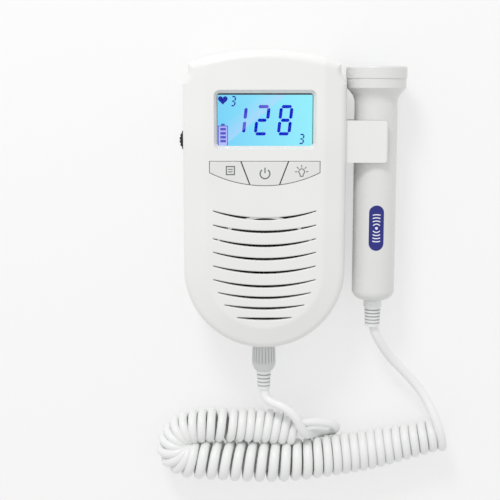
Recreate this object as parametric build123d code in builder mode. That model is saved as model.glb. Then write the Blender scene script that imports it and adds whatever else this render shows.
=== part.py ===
"""Hand-held fetal doppler monitor: console with display, keys and loudspeaker, and probe on a curly cord.

The console lies on its back. +X is its right side, +Y its top end, +Z comes out of its front.
The origin is on the flat back face, near the middle of the case. Sizes are in millimetres.
"""

import os
from math import atan2, cos, pi, radians, sin, sqrt, tan

from build123d import *

os.makedirs("parts", exist_ok=True)

# ---------------------------------------------------------------- case
case_length = 132.5
case_width = 71.8
case_depth = 34.0
case_wall = 2.2
parting_height = 15.0
cap_step = 2.6              # the top end is narrower than the case by this much on each side
cap_arch_radius = 102.0
shoulder_low = 14.1         # from the top of the arch down to the foot of the shoulder
shoulder_high = 10.0        # from the top of the arch down to the top of the shoulder
corner_radius = 4.2
shoulder_inner_radius = 2.0
front_edge_radius = 4.0
back_edge_radius = 4.0
crease_radius = 5.0
slope_width = 10.0          # the front falls away over this width along the sides and the bottom
slope_drop = 2.8
lip_height = 1.2
lip_gap = 0.1
parting_chamfer = 0.3

running_gap = 0.05
small_gap = 0.1
slide_gap = 0.25
loose_gap = 0.3

cap_width = case_width - 2 * cap_step
half_width = case_width / 2
top_end = case_length * 27 / 53
bottom_end = top_end - case_length
bottom_centre = bottom_end + half_width
front_inside = case_depth - case_wall
flat_radius = half_width - slope_width

# ---------------------------------------------------------------- display
display_centre = (0.1, top_end * 5 / 9)
display_opening = (42.0, 22.8)
display_bevel = 1.3
display_bevel_end = 1.5
display_corner = 1.4
window_lap = 2.4
window_thickness = 1.2
lcd_lap = 0.8
lcd_thickness = 1.8
backlight_thickness = 2.6
lcd_frame_wall = 1.6
lcd_frame_ledge = 3.0
lcd_ledge = 2.0
frame_gap = 0.2

# ---------------------------------------------------------------- keys
key_panel_width = 48.6
key_middle_y = top_end * 0.21
key_half_height = 5.5
key_shoulder_rise = 0.25
key_panel_top = key_middle_y + key_half_height
key_panel_shoulder = key_middle_y + key_shoulder_rise
key_panel_bottom = key_middle_y - key_half_height
key_divider_top = 10.5
key_divider_bottom = 6.3
key_gap = 0.5
key_edge = 0.25
key_proud = 0.1
key_flange = 1.0
key_flange_thickness = 1.0
key_travel = 0.8
key_stem_radius = 1.6
key_stem_gap = 0.1
switch_size = 6.0
switch_height = 2.8
plunger_radius = 1.7
plunger_height = 1.0
key_stem_x = (-15.0, 0.1, 15.2)

# ---------------------------------------------------------------- speaker and grille
speaker_drop = 1.0          # from the centre of the round end down to the speaker's
speaker_radius = 24.4
speaker_flange_width = 2.6
speaker_flange_thickness = 1.0
speaker_depth = 9.5
speaker_wall = 0.8
gasket_thickness = 1.0
magnet_radius = 11.0
magnet_height = 5.0
dust_cap_radius = 7.0
dust_cap_rise = 2.0
voice_coil_radius = 6.0
cone_thickness = 0.6
cone_roll = 17.6            # radius where the surround begins
cone_roll_rise = 0.6
magnet_chamfer = 0.8
speaker_windows = 6
speaker_window_width = 6.0
ring_wall = 1.2
ring_height = 4.0
slot_width = 1.15
slot_end_width = 0.4
slot_chamfer = 0.4
# one entry for each slot, from the top: middle height above the centre of the round end and half
# length, both as shares of the flat front's radius there, and rise of the slot's ends
slot_rows = (
    (0.897, 0.873, 3.5), (0.675, 0.873, 3.0), (0.433, 0.873, 3.2),
    (0.203, 0.873, 3.1), (-0.031, 0.873, 3.0), (-0.271, 0.873, 3.1),
    (-0.471, 0.792, 2.4), (-0.656, 0.683, 1.6), (-0.839, 0.467, 0.6),
)

# ---------------------------------------------------------------- board
board_drop = 9.2            # from the inside of the front down to the board's underside
board_thickness = 1.6
board_half_width = 30.2
board_reach = 15.175        # from the middle of the keys down to the board's lower edge
board_speaker_gap = 0.6
board_end_gap = 5.3
board_screw_x = 27.0
board_screw_inset = 3.7
board_screw_radius = 1.2
board_screw_head_radius = 2.1
board_screw_head_height = 1.4
board_screw_length = 5.0
board_post_radius = 2.6
board_corner = 2.0
board_notch_gap = 0.6
# one entry for each chip: middle x, middle y above the board's lower edge, length along x and y, height
chip_sizes = (
    (23.0, 15.0, 10.0, 10.0, 1.4), (22.5, 28.0, 8.0, 6.0, 1.5), (21.0, 5.0, 6.0, 4.0, 1.5),
    (23.5, 38.0, 4.0, 10.0, 2.2), (-21.5, 43.0, 5.0, 8.0, 1.6),
)
capacitor_places = ((21.5, 47.5), (-21.5, 6.5))
capacitor_radius = 2.0
capacitor_height = 2.6
board_bottom = front_inside - board_drop
board_top = board_bottom + board_thickness
board_low_y = key_middle_y - board_reach
speaker_centre_y = bottom_centre - speaker_drop
board_high_y = top_end - case_wall - board_end_gap
board_screw_places = [
    (x, y)
    for y in (board_low_y + board_screw_inset, board_high_y - board_screw_inset)
    for x in (-board_screw_x, board_screw_x)
]

# ---------------------------------------------------------------- case screws
case_screw_places = (
    (-29.6, top_end * 2 / 3), (29.6, top_end * 2 / 3),
    (-25.2, top_end * -0.652), (25.2, top_end * -0.652),
)
case_post_radius = 3.3
case_screw_radius = 1.25
case_screw_head_radius = 2.4
case_screw_head_height = 1.8
case_screw_recess = 6.0
case_screw_length = 14.0
case_post_gap = 0.2
case_post_height = 12.0
driver_slot = 0.8
rib_places = (-14.0, -28.0, -42.0)
rib_thickness = 1.2
rib_height = 5.2

# ---------------------------------------------------------------- volume wheel
wheel_inset = 4.7
wheel_display_drop = 9.4
wheel_centre = (wheel_inset - half_width, display_centre[1] - wheel_display_drop)
wheel_radius = 6.8
wheel_drop = 5.4            # from the board's underside down to the wheel's
wheel_thickness = 2.8
wheel_grooves = 26
wheel_groove_radius = 0.35
wheel_shaft_radius = 1.5
wheel_slot_gap = 0.6
wheel_side_gap = 0.3
pot_thickness = 1.4
pot_length = 9.0
pot_width = 7.2
pot_head_radius = 2.2
pot_head_height = 0.8
pot_overhang = 2.0          # from the shaft to the side towards the wall
wheel_rim = 1.4
wheel_web_recess = 0.6

# ---------------------------------------------------------------- earphone socket
earphone_key_drop = 2.175
earphone_y = key_middle_y - earphone_key_drop
earphone_bore_radius = 1.8
earphone_bore_depth = 12.0
earphone_nose_radius = 2.8
earphone_body_width = 6.4
earphone_end_wall = 2.4

# ---------------------------------------------------------------- batteries and door
cell_radius = 7.25
cell_length = 50.5
cell_pitch = 15.1
cell_nub_radius = 2.7
cell_nub_height = 1.4
bay_room = 4.5              # for the springs and contact plates, beyond the cells' own length
bay_end_gap = 4.9
bay_wall = 1.5
bay_side_gap = 0.5
spring_radius = 3.2
spring_wire = 0.3
spring_turns = 2.5
plate_thickness = 0.4
plate_half = 5.0
spring_cone_angle = 20.0
cell_end_gap = 0.1
door_thickness = 1.2
door_tongue_width = 1.5
door_tongue_thickness = 1.0
door_recess = 0.15
door_half_width = 15.8
door_lip_height = 6.0
door_grooves = 5
door_groove_start = 5.0
door_groove_pitch = 2.2
door_groove_radius = 0.8
door_groove_length = 12.0

# ---------------------------------------------------------------- probe socket and plug
plug_axis_z = parting_height
socket_nose_radius = 5.6
socket_nose_recess = 0.5
socket_body_radius = 6.6
socket_body_length = 11.0
socket_flange_radius = 8.0
socket_flange_thickness = 1.6
socket_bore_radius = 4.0
socket_bore_depth = 6.6
plug_travel = 5.8
plug_gap = 0.2
plug_mouth_radius = 5.2
plug_radius = 5.5
plug_grip_length = 10.0
plug_tail_radius = 3.6
plug_ridges = 22
plug_ridge_radius = 0.3
shroud_wall = 0.5
pin_radius = 0.45
pin_circle_radius = 2.2
pin_count = 5
pin_spread = 52.0
pin_recess = 0.6
shroud_outer = 3.95
core_gap = 0.15
core_recess = 0.8
contact_base_radius = 4.6
contact_base_thickness = 2.0
plug_edge = 0.4
boot_rings = 4
boot_ring_width = 0.8
boot_ring_depth = 0.35
saddle_margin = 3.0
boot_length = 8.8
boot_start_radius = 3.45
boot_end_radius = 2.85

# ---------------------------------------------------------------- probe and clip
probe_x = 50.2
probe_z = 16.2
handle_radius = 9.7
handle_low_y = -45.0
handle_high_y = 45.4
handle_end_radius = 4.6
handle_wall = 2.0
flare_run = 1.0
neck_high_y = 51.2
head_low_radius = 13.35
head_radius = 13.65
head_seam_y = 55.4
head_high_y = 60.8
head_wall = 2.0
head_edge_radius = 1.0
spigot_low_y = 51.6
holder_radius = 9.95
holder_low_y = 53.0
holder_pocket = 2.6
crystal_radius = 9.5
crystal_thickness = 1.4
crystal_split = 0.6
face_radius = 12.2
face_recess = 1.8
face_dome = 0.35
label_centre_y = -11.0
label_width = 6.7
label_length = 20.5
label_depth = 0.3
clip_low_y = 18.5
clip_high_y = 36.9
clip_tip_x = 54.3
clip_arm = 2.2
clip_gap = 0.3
clip_corner = 1.7
clip_edge = 1.05
clip_screw_radius = 1.2
clip_screw_inset = 4.2
clip_screw_z = 21.0
clip_screw_head_radius = 2.2
clip_screw_head_height = 1.3
clip_screw_length = 3.6
collar_radius = 4.2
collar_length = 3.3
relief_length = 12.7
relief_start_radius = 3.8
relief_end_radius = 3.35
relief_neck_radius = 2.95
relief_flange = 1.4
relief_edge = 0.5
relief_rings = 5
relief_ring_start = 1.6
relief_ring_pitch = 1.55
relief_ring_width = 0.7
relief_ring_depth = 0.45
probe_board_half = 7.4
probe_board_thickness = 1.2
probe_board_low_y = -38.0
probe_board_high_y = 40.0
probe_chips = ((-20.0, 6.0), (0.0, 8.0), (22.0, 5.0))

# ---------------------------------------------------------------- cord
cord_radius = 2.1
coil_radius = 9.1           # outside of the coiled stretch
# from the plug: straight out, over the coil's rear run in a low hump, down between its two runs
plug_lead_points = (
    (0.0, -85.8, 15.0), (0.0, -99.2, 15.2), (7.4, -108.4, 23.2), (17.6, -114.4, 21.6), (26.0, -117.4, 13.8),
)
# the coil: rear run to the left, round a hairpin, front run to the right
curl_points = (
    (33.0, -107.6, 9.2), (12.0, -109.3, 9.2), (-10.0, -109.9, 9.2), (-32.0, -107.2, 9.2),
    (-44.0, -113.0, 9.2), (-44.0, -126.2, 9.2), (-32.0, -131.9, 9.2), (-8.0, -128.8, 9.2),
    (14.0, -128.5, 9.2), (37.0, -125.6, 9.2), (61.0, -120.0, 9.2), (82.8, -112.8, 9.2),
)
# from the probe: down in a sag and up onto the last turn of the coil
probe_lead_points = (
    (50.2, -57.7, 16.2), (50.2, -70.0, 16.2), (57.5, -82.0, 11.4),
    (68.5, -90.0, 9.6), (78.2, -100.3, 12.4), (80.8, -111.6, 15.8),
)


def outline(inset):
    """Plan outline of the case, moved in by inset."""
    lean = atan2(case_width - cap_width, 2 * (shoulder_low - shoulder_high))
    shoulder_shift = inset * tan(lean / 2)
    shoulder_foot = top_end - shoulder_low - shoulder_shift
    shoulder_top = top_end - shoulder_high - shoulder_shift
    side_half = half_width - inset
    cap_half = cap_width / 2 - inset
    arch_centre = top_end - cap_arch_radius
    cap_corner = arch_centre + sqrt((cap_arch_radius - inset)**2 - cap_half**2)
    with BuildSketch() as plan:
        with BuildLine():
            side = Polyline(
                (side_half, bottom_centre), (side_half, shoulder_foot),
                (cap_half, shoulder_top), (cap_half, cap_corner),
            )
            ThreePointArc((cap_half, cap_corner), (0, top_end - inset), (-cap_half, cap_corner))
            mirror(side, about=Plane.YZ)
            ThreePointArc((side_half, bottom_centre), (0, bottom_end + inset), (-side_half, bottom_centre))
        make_face()
        corners = plan.vertices()
        fillet(corners.filter_by(lambda v: abs(v.Y - shoulder_top) < 0.01),
               radius=shoulder_inner_radius + inset)
        fillet(corners.filter_by(lambda v: v.Y > shoulder_top + 0.01 or abs(v.Y - shoulder_foot) < 0.01),
               radius=max(corner_radius - inset, parting_chamfer))
    return plan.sketch


def case_form(inset, rounded):
    """Solid form of the closed case, moved in by inset on all sides."""
    slope_angle = atan2(slope_drop, slope_width)
    panel_half = flat_radius - inset * tan(slope_angle / 2)
    top = case_depth - inset
    reach = case_width
    far_drop = (reach - panel_half) * slope_drop / slope_width
    bottom_plane = Plane(origin=(0, bottom_centre, 0), x_dir=(1, 0, 0), z_dir=(0, -1, 0))
    with BuildPart() as above_slope:
        with BuildSketch(bottom_plane) as section:
            with BuildLine():
                Polyline(
                    (panel_half, top), (reach, top - far_drop), (reach, top + 1), (panel_half, top + 1),
                    close=True,
                )
            make_face()
        extrude(amount=-case_length)
        mirror(about=Plane.YZ)
        revolve(section.sketch, axis=Axis((0, bottom_centre, 0), (0, 0, 1)), revolution_arc=-180)
    plan = outline(inset)
    with BuildPart() as form:
        with BuildSketch(Plane.XY.offset(inset)):
            add(plan)
        extrude(amount=top - inset)
        add(above_slope.part, mode=Mode.SUBTRACT)
        if rounded:
            crease = form.edges().filter_by(
                lambda e: e.center().Z > top - 0.01
                and max(abs(v.X) for v in e.vertices()) <= panel_half + 0.01
                and e.center().Y < top_end - shoulder_low
            )
            fillet(crease, radius=crease_radius)
            walls = form.faces().filter_by(lambda f: abs(f.normal_at().Z) < 0.01)
            rim_low = case_depth - 2 * slope_drop
            fillet(walls.edges().filter_by(lambda e: e.center().Z > rim_low), radius=front_edge_radius)
            fillet(form.faces().sort_by(Axis.Z)[0].edges(), radius=back_edge_radius)
    return form.part


def rim_band(outer_inset, inner_inset, low, height):
    """Upright band that follows the case outline between two insets."""
    with BuildPart() as band:
        with BuildSketch(Plane.XY.offset(low)):
            add(outline(outer_inset))
            add(outline(inner_inset), mode=Mode.SUBTRACT)
        extrude(amount=height)
    return band.part


def block(low, high, mode=Mode.ADD):
    """Box between two opposite corners, joined to or cut from the part being built."""
    size = [b - a for a, b in zip(low, high)]
    with Locations(tuple((a + b) / 2 for a, b in zip(low, high))):
        Box(*size, mode=mode)


def rod(start, direction, radius, length, mode=Mode.ADD):
    """Cylinder from the centre of its first face, along a direction."""
    with Locations(Plane(origin=start, z_dir=direction)):
        Cylinder(radius, length, align=(Align.CENTER, Align.CENTER, Align.MIN), mode=mode)


def key_panel(grow):
    """Outline of the three keys together, moved out by grow."""
    half = key_panel_width / 2
    with BuildSketch() as panel:
        with BuildLine():
            Polyline(
                (-half, key_panel_shoulder), (-half, key_panel_top),
                (half, key_panel_top), (half, key_panel_shoulder),
            )
            ThreePointArc((half, key_panel_shoulder), (0, key_panel_bottom), (-half, key_panel_shoulder))
        make_face()
        if grow:
            offset(amount=grow, kind=Kind.INTERSECTION)
    return panel.sketch


def key_zone(place):
    """Share of the key panel that belongs to the key at place -1, 0 or 1, with half the gap taken off."""
    lean = (key_divider_top - key_divider_bottom) / (key_panel_top - key_panel_bottom)
    reach = key_panel_width / 2
    high = key_panel_top + reach
    low = key_panel_bottom - reach / 4
    high_x = key_divider_bottom + lean * (high - key_panel_bottom)
    low_x = key_divider_bottom + lean * (low - key_panel_bottom)
    if place == 0:
        left_high, left_low = -high_x + key_gap / 2, -low_x + key_gap / 2
        right_high, right_low = high_x - key_gap / 2, low_x - key_gap / 2
    else:
        left_high, left_low = place * (high_x + key_gap / 2), place * (low_x + key_gap / 2)
        right_high = right_low = place * reach * 2
    with BuildSketch() as zone:
        with BuildLine():
            Polyline((left_low, low), (left_high, high), (right_high, high), (right_low, low), close=True)
        make_face()
    return zone.sketch


def grille_slots():
    """The curved speaker slots, each between two arcs that close up towards its ends."""
    with BuildSketch() as slots:
        for height, share, rise in slot_rows:
            half = share * flat_radius
            middle_y = bottom_centre + height * flat_radius
            end_y = middle_y + rise
            with BuildLine():
                upper = ThreePointArc(
                    (-half, end_y + slot_end_width / 2),
                    (0, middle_y + slot_width / 2),
                    (half, end_y + slot_end_width / 2),
                )
                lower = ThreePointArc(
                    (-half, end_y - slot_end_width / 2),
                    (0, middle_y - slot_width / 2),
                    (half, end_y - slot_end_width / 2),
                )
                Line(upper @ 0, lower @ 0)
                Line(upper @ 1, lower @ 1)
            make_face()
    return slots.sketch


def cord_bends(points):
    """Radius at each corner of a cord's route, as large as the runs beside it allow."""
    runs = [Vector(*b) - Vector(*a) for a, b in zip(points, points[1:])]
    return [
        0.45 * min(a.length, b.length) / tan(radians(a.get_angle(b) / 2)) for a, b in zip(runs, runs[1:])
    ]


def cord_tube(points, radius):
    """Tube along straight runs joined by tangent arcs."""
    bends = cord_bends(points)
    with BuildPart() as tube:
        with BuildLine() as path:
            FilletPolyline(*points, radius=bends)
        with BuildSketch(Plane(origin=points[0], z_dir=Vector(*points[1]) - Vector(*points[0]))):
            Circle(radius)
        sweep(path=path.wires()[0])
    length = path.wires()[0].length
    print("cord length", round(length, 1), "radii", [round(bend, 1) for bend in bends],
          "volume over section times length", round(tube.part.volume / (length * pi * radius**2), 4))
    return tube.part


def save(piece, name):
    """Label a finished piece and write it to its own STEP file."""
    piece.label = name
    export_step(piece, f"parts/{name}.step")


outer_form = case_form(0, rounded=True)
middle_form = case_form(case_wall / 2, rounded=False)
inner_form = case_form(case_wall, rounded=False)
lip_inset = case_wall / 2

# heights of the stack behind the front, from the board up
window_bottom = front_inside - window_thickness
backlight_bottom = board_top + lcd_frame_wall
lcd_bottom = backlight_bottom + backlight_thickness
lcd_size = (display_opening[0] + 2 * lcd_lap, display_opening[1] + 2 * lcd_lap)
key_flange_top = front_inside - 2 * small_gap
key_flange_bottom = key_flange_top - key_flange_thickness
switch_top = board_top + switch_height
key_stem_bottom = switch_top + plunger_height + key_travel + key_stem_gap
gasket_bottom = front_inside - gasket_thickness
speaker_flange_bottom = gasket_bottom - speaker_flange_thickness
ring_inner = speaker_radius + small_gap

# battery bay and door, from the back up
door_lip_top = door_recess + door_thickness - small_gap / 2
tongue_bottom = door_lip_top + small_gap + running_gap
tongue_top = tongue_bottom + door_tongue_thickness
groove_top = tongue_top + 2 * small_gap
tongue_half = door_half_width + door_tongue_width
bay_half = cell_pitch / 2 + cell_radius + bay_side_gap
bay_high_y = top_end - case_wall - bay_end_gap
bay_length = cell_length + bay_room
bay_low_y = bay_high_y - bay_length
spring_length = bay_length - 2 * plate_thickness - cell_length - cell_end_gap
cell_z = groove_top + cell_radius
bay_ceiling = cell_z + cell_radius + slide_gap
door_low_y = bay_low_y - bay_wall / 2 - slide_gap
door_end_inside = top_end - case_wall - 1.0
rail_half = tongue_half + slide_gap + bay_wall
case_screw_tip = case_screw_recess + case_screw_length
lip_clear = parting_height + lip_height + lip_gap

side_x = half_width
wall_x = half_width - case_wall
wheel_bottom = board_bottom - wheel_drop
wheel_top = wheel_bottom + wheel_thickness
earphone_z = board_bottom - earphone_body_width / 2
socket_end = bottom_end + socket_nose_recess
socket_body_start = bottom_centre - sqrt(wall_x**2 - socket_body_radius**2) + small_gap
socket_body_end = socket_body_start + socket_body_length - case_wall
saddle_y = (socket_body_start + socket_body_end) / 2
saddle_thickness = 1.5
clip_screw_places = (clip_low_y + clip_screw_inset, clip_high_y - clip_screw_inset)

with BuildPart() as wall_cuts:
    # openings that pass through the side walls of both shells
    rod((0, bottom_end - 1, plug_axis_z), (0, 1, 0), socket_nose_radius + running_gap, case_wall * 3)
    rod((-side_x - 1, earphone_y, earphone_z), (1, 0, 0), earphone_nose_radius + small_gap, case_wall * 2)
    for screw_y in clip_screw_places:
        rod((wall_x - 1, screw_y, clip_screw_z), (1, 0, 0), clip_screw_radius + small_gap, case_wall * 2)
    slot_half = sqrt(wheel_radius**2 - (wall_x + wheel_centre[0])**2) + wheel_side_gap
    block(
        (-side_x - 1, wheel_centre[1] - slot_half, wheel_bottom - wheel_slot_gap),
        (-wall_x + 1, wheel_centre[1] + slot_half, wheel_top + wheel_slot_gap),
    )

with BuildPart() as front_fittings:
    # ring round the speaker
    with BuildSketch(Plane.XY.offset(front_inside - ring_height)):
        with Locations((0, speaker_centre_y)):
            Circle(ring_inner + ring_wall)
            Circle(ring_inner, mode=Mode.SUBTRACT)
    extrude(amount=ring_height + case_wall)
    # posts for the board and for the case screws
    with BuildSketch(Plane.XY.offset(board_top)):
        with Locations(*board_screw_places):
            Circle(board_post_radius)
    extrude(amount=case_depth - board_top)
    with BuildSketch(Plane.XY.offset(case_post_height + case_post_gap)):
        with Locations(*case_screw_places):
            Circle(case_post_radius)
    extrude(amount=case_depth - case_post_height - case_post_gap)
    # saddle over the probe socket
    block(
        (-socket_body_radius - saddle_margin, saddle_y - saddle_thickness / 2, lip_clear),
        (socket_body_radius + saddle_margin, saddle_y + saddle_thickness / 2, case_depth),
    )
    add(middle_form, mode=Mode.INTERSECT)
    with BuildSketch(Plane.XY.offset(board_top)):
        with Locations(*board_screw_places):
            Circle(board_screw_radius + running_gap)
    extrude(amount=board_screw_length - board_thickness + loose_gap, mode=Mode.SUBTRACT)
    with BuildSketch(Plane.XY.offset(case_post_height)):
        with Locations(*case_screw_places):
            Circle(case_screw_radius + running_gap)
    extrude(amount=case_screw_tip - case_post_height + loose_gap, mode=Mode.SUBTRACT)
    rod((0, saddle_y - saddle_thickness, plug_axis_z), (0, 1, 0),
        socket_body_radius + running_gap, 2 * saddle_thickness, mode=Mode.SUBTRACT)

with BuildPart() as front_shell:
    add(outer_form)
    split(bisect_by=Plane.XY.offset(parting_height), keep=Keep.TOP)
    chamfer(front_shell.faces().sort_by(Axis.Z)[0].edges(), length=parting_chamfer)
    add(inner_form, mode=Mode.SUBTRACT)
    add(rim_band(lip_inset, case_wall + 1, parting_height - 1, lip_height + lip_gap + 1), mode=Mode.SUBTRACT)

    # display opening, tapered towards the window
    with BuildSketch(Plane.XY.offset(case_depth)):
        with Locations(display_centre):
            RectangleRounded(
                display_opening[0] + 2 * display_bevel,
                display_opening[1] + 2 * display_bevel_end,
                display_corner + display_bevel,
            )
    with BuildSketch(Plane.XY.offset(front_inside)):
        with Locations(display_centre):
            RectangleRounded(*display_opening, display_corner)
    loft(mode=Mode.SUBTRACT)

    # key opening
    with BuildSketch(Plane.XY.offset(front_inside - 1)):
        add(key_panel(0))
    extrude(amount=case_wall + 2, mode=Mode.SUBTRACT)

    # speaker grille: slots with softened rims
    with BuildSketch(Plane.XY.offset(case_depth)):
        add(grille_slots())
    extrude(amount=-case_wall - 1, mode=Mode.SUBTRACT)
    slots_low_y = bottom_centre + slot_rows[-1][0] * flat_radius - slot_width
    slots_high_y = bottom_centre + slot_rows[0][0] * flat_radius + slot_rows[0][2] + slot_width
    slot_rims = front_shell.edges().filter_by(
        lambda e: e.center().Z > case_depth - 0.01
        and abs(e.center().X) < key_panel_width / 2
        and slots_low_y < e.center().Y < slots_high_y
    )
    chamfer(slot_rims, length=slot_chamfer)
    add(front_fittings.part)
    add(wall_cuts.part, mode=Mode.SUBTRACT)
save(front_shell.part, "front_shell")

with BuildPart() as back_fittings:
    # battery bay with the rails that hold the door
    block(
        (-rail_half, door_low_y - bay_wall, 0),
        (rail_half, top_end, groove_top + bay_wall),
    )
    block(
        (-rail_half, door_end_inside - slide_gap - bay_wall, 0),
        (rail_half, top_end, door_lip_height + slide_gap + bay_wall),
    )
    block(
        (-bay_half - bay_wall, bay_low_y - bay_wall, 0),
        (bay_half + bay_wall, bay_high_y + bay_wall, bay_ceiling + bay_wall),
    )
    # screw posts, and ribs across the lower half
    with BuildSketch(Plane.XY):
        with Locations(*case_screw_places):
            Circle(case_post_radius)
    extrude(amount=case_post_height)
    for rib_y in rib_places:
        block((-side_x, rib_y - rib_thickness / 2, 0), (side_x, rib_y + rib_thickness / 2, rib_height))
    # saddle under the probe socket
    block(
        (-socket_body_radius - saddle_margin, saddle_y - saddle_thickness / 2, 0),
        (socket_body_radius + saddle_margin, saddle_y + saddle_thickness / 2, parting_height - small_gap),
    )
    rod((0, saddle_y - saddle_thickness, plug_axis_z), (0, 1, 0),
        socket_body_radius + running_gap, 2 * saddle_thickness, mode=Mode.SUBTRACT)
    add(middle_form, mode=Mode.INTERSECT)

with BuildPart() as back_shell:
    add(outer_form)
    split(bisect_by=Plane.XY.offset(parting_height), keep=Keep.BOTTOM)
    chamfer(back_shell.faces().sort_by(Axis.Z)[-1].edges(), length=parting_chamfer)
    add(inner_form, mode=Mode.SUBTRACT)
    add(rim_band(lip_inset + lip_gap, case_wall, parting_height - lip_height, 2 * lip_height))
    add(back_fittings.part)

    # battery bay, door opening, door grooves and the notch for the door's end
    block((-bay_half, bay_low_y, -1), (bay_half, bay_high_y, bay_ceiling), mode=Mode.SUBTRACT)
    opening_half = door_half_width + slide_gap
    groove_half = tongue_half + slide_gap
    groove_low_y = door_low_y - slide_gap
    past_end = top_end + 1
    block((-opening_half, groove_low_y, -1), (opening_half, past_end, groove_top), mode=Mode.SUBTRACT)
    block((-groove_half, groove_low_y, door_lip_top), (groove_half, past_end, groove_top),
          mode=Mode.SUBTRACT)
    block(
        (-groove_half, door_end_inside - slide_gap, -1),
        (groove_half, past_end, door_lip_height + slide_gap),
        mode=Mode.SUBTRACT,
    )

    # screw holes, open to the back
    with BuildSketch(Plane.XY.offset(-1)):
        with Locations(*case_screw_places):
            Circle(case_screw_head_radius + small_gap)
    extrude(amount=case_screw_recess + 1, mode=Mode.SUBTRACT)
    with BuildSketch(Plane.XY.offset(-1)):
        with Locations(*case_screw_places):
            Circle(case_screw_radius + small_gap)
    extrude(amount=case_post_height + 2, mode=Mode.SUBTRACT)
    add(wall_cuts.part, mode=Mode.SUBTRACT)
save(back_shell.part, "back_shell")

with BuildPart() as battery_door:
    block((-door_half_width, door_low_y, door_recess), (door_half_width, past_end, tongue_top))
    block((-tongue_half, door_low_y, tongue_bottom), (tongue_half, past_end, tongue_top))
    block((-tongue_half, door_end_inside, door_recess), (tongue_half, past_end, door_lip_height))
    add(outer_form, mode=Mode.INTERSECT)
    # grip grooves across the outside
    for groove in range(door_grooves):
        groove_y = door_low_y + door_groove_start + door_groove_pitch * groove
        rod((-door_groove_length / 2, groove_y, door_recess - door_groove_radius / 2), (1, 0, 0),
            door_groove_radius, door_groove_length, mode=Mode.SUBTRACT)
save(battery_door.part, "battery_door")

with BuildPart() as case_screws:
    for place in case_screw_places:
        rod((*place, case_screw_recess - case_screw_head_height), (0, 0, 1),
            case_screw_head_radius, case_screw_head_height)
        rod((*place, case_screw_recess), (0, 0, 1), case_screw_radius, case_screw_length)
        block(
            (place[0] - driver_slot / 2, place[1] - case_screw_head_radius, 0),
            (place[0] + driver_slot / 2, place[1] + case_screw_head_radius,
             case_screw_recess - case_screw_head_height / 2),
            mode=Mode.SUBTRACT,
        )
save(case_screws.part, "case_screws")

# ---------------------------------------------------------------- display stack
with BuildPart() as display_window:
    with BuildSketch(Plane.XY.offset(window_bottom)):
        with Locations(display_centre):
            RectangleRounded(
                display_opening[0] + 2 * window_lap, display_opening[1] + 2 * window_lap, window_lap
            )
    extrude(amount=window_thickness)
save(display_window.part, "display_window")

with BuildPart() as lcd_panel:
    with BuildSketch(Plane.XY.offset(lcd_bottom)):
        with Locations(display_centre):
            Rectangle(*lcd_size)
    extrude(amount=lcd_thickness)
    # the lower glass is longer than the upper one, on the side of the contacts
    with BuildSketch(Plane.XY.offset(lcd_bottom + lcd_thickness / 2)):
        with Locations((display_centre[0], display_centre[1] + (lcd_size[1] - lcd_ledge) / 2)):
            Rectangle(lcd_size[0], lcd_ledge)
    extrude(amount=lcd_thickness, mode=Mode.SUBTRACT)
save(lcd_panel.part, "lcd_panel")

with BuildPart() as lcd_backlight:
    with BuildSketch(Plane.XY.offset(backlight_bottom)):
        with Locations(display_centre):
            Rectangle(*lcd_size)
    extrude(amount=backlight_thickness)
save(lcd_backlight.part, "lcd_backlight")

with BuildPart() as lcd_frame:
    cavity = (lcd_size[0] + 2 * frame_gap, lcd_size[1] + 2 * frame_gap)
    with BuildSketch(Plane.XY.offset(board_top)):
        with Locations(display_centre):
            RectangleRounded(cavity[0] + 2 * lcd_frame_wall, cavity[1] + 2 * lcd_frame_wall, lcd_frame_wall)
    extrude(amount=window_bottom - frame_gap - board_top)
    with BuildSketch(Plane.XY.offset(backlight_bottom)):
        with Locations(display_centre):
            Rectangle(*cavity)
    extrude(amount=case_depth, mode=Mode.SUBTRACT)
    with BuildSketch(Plane.XY.offset(board_top)):
        with Locations(display_centre):
            Rectangle(cavity[0] - 2 * lcd_frame_ledge, cavity[1] - 2 * lcd_frame_ledge)
    extrude(amount=case_depth, mode=Mode.SUBTRACT)
save(lcd_frame.part, "lcd_frame")

# ---------------------------------------------------------------- board and what it carries
with BuildPart() as main_board:
    board_middle_y = (board_low_y + board_high_y) / 2
    with BuildSketch(Plane.XY.offset(board_bottom)):
        with Locations((0, board_middle_y)):
            RectangleRounded(2 * board_half_width, board_high_y - board_low_y, board_corner)
        with Locations(*case_screw_places[:2]):
            Circle(case_post_radius + board_notch_gap, mode=Mode.SUBTRACT)
        with Locations(*board_screw_places):
            Circle(board_screw_radius + small_gap, mode=Mode.SUBTRACT)
        with Locations((0, speaker_centre_y)):
            Circle(ring_inner + ring_wall + board_speaker_gap, mode=Mode.SUBTRACT)
    extrude(amount=board_thickness)
save(main_board.part, "main_board")

with BuildPart() as board_screws:
    for place in board_screw_places:
        rod((*place, board_bottom - board_screw_head_height), (0, 0, 1),
            board_screw_head_radius, board_screw_head_height)
        rod((*place, board_bottom), (0, 0, 1), board_screw_radius, board_screw_length)
save(board_screws.part, "board_screws")

with BuildPart() as board_parts:
    # chips and connectors on the back of the board, hung from its underside
    for centre_x, up, length_x, length_y, height in chip_sizes:
        block(
            (centre_x - length_x / 2, board_low_y + up - length_y / 2, board_bottom - height),
            (centre_x + length_x / 2, board_low_y + up + length_y / 2, board_bottom),
        )
    for centre_x, up in capacitor_places:
        rod((centre_x, board_low_y + up, board_bottom), (0, 0, -1), capacitor_radius, capacitor_height)
save(board_parts.part, "board_parts")

with BuildPart() as key_switches:
    for stem_x in key_stem_x:
        block(
            (stem_x - switch_size / 2, key_middle_y - switch_size / 2, board_top),
            (stem_x + switch_size / 2, key_middle_y + switch_size / 2, switch_top),
        )
        rod((stem_x, key_middle_y, switch_top), (0, 0, 1), plunger_radius, plunger_height)
save(key_switches.part, "key_switches")

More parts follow.
